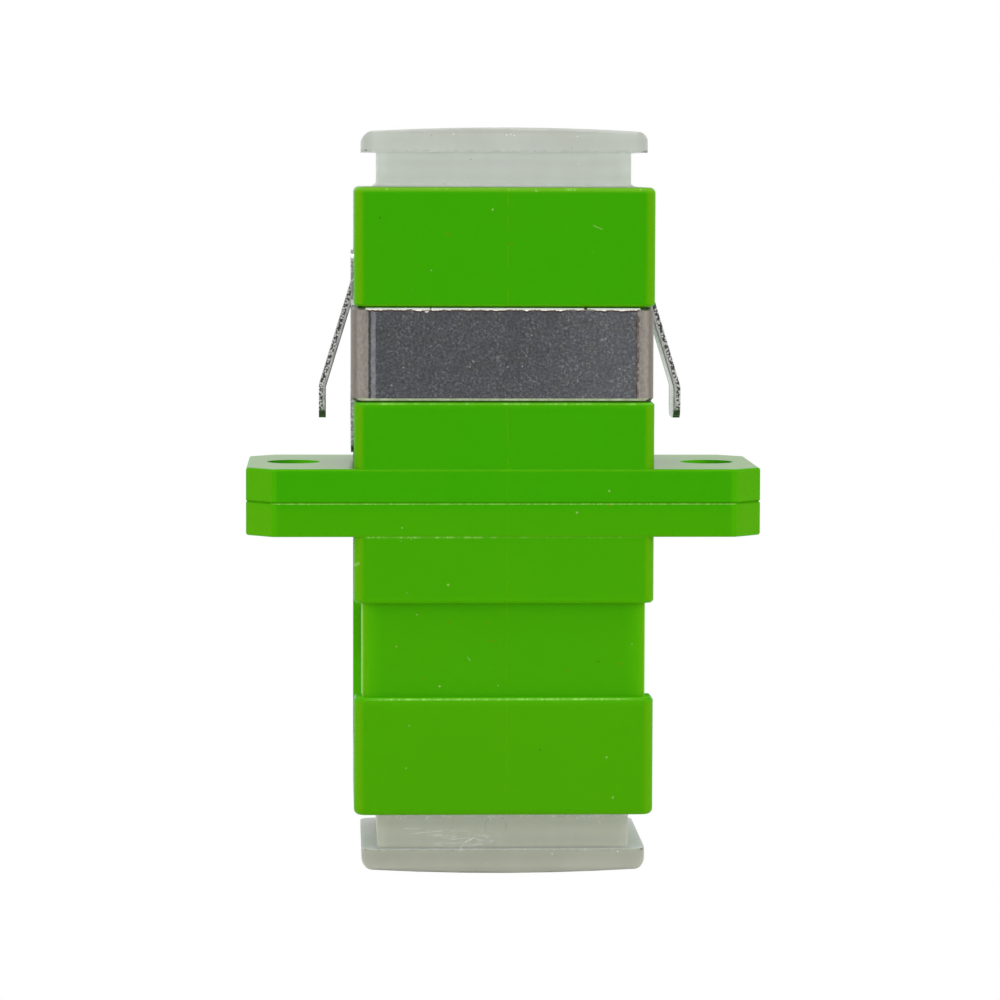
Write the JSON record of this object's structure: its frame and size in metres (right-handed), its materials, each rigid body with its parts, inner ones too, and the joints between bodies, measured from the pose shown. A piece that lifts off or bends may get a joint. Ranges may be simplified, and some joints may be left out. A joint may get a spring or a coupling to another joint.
{
  "type": "sc fibre adapter",
  "caption": "Green flanged bulkhead adapter that joins two push-pull fibre plugs end to end, with a sprung panel clip and pull-off dust caps.",
  "frame": {"origin": "on the fibre axis at the parting plane of the two housing halves", "axes": "+Z along the fibre axis towards the upper port, +X across the flange ears, the clip's band on the -Y face and the keyways on +Y"},
  "size_m": [0.022, 0.0094, 0.0318],
  "materials": {
    "green_plastic": "glossy injection moulded green",
    "cap_plastic": "soft milky translucent, lightly scuffed",
    "spring_steel": "bare rolled stainless sheet with sheared edges",
    "insert_plastic": "natural off-white, moulded",
    "ceramic": "ground white zirconia"
  },
  "bodies": {
    "adapter_body": {"upper_housing": "green_plastic", "lower_housing": "green_plastic", "upper_latch_insert": "insert_plastic", "lower_latch_insert": "insert_plastic", "split_sleeve": "ceramic", "mounting_clip": "spring_steel"},
    "upper_cap": {"upper_dust_cap": "cap_plastic"},
    "lower_cap": {"lower_dust_cap": "cap_plastic"}
  },
  "joints": [
    {"name": "upper_cap_pull", "type": "slide", "parent": "adapter_body", "child": "upper_cap", "axis": [0, 0, 1], "range_m": [0, 0.02]},
    {"name": "lower_cap_pull", "type": "slide", "parent": "adapter_body", "child": "lower_cap", "axis": [0, 0, -1], "range_m": [0, 0.02]}
  ]
}
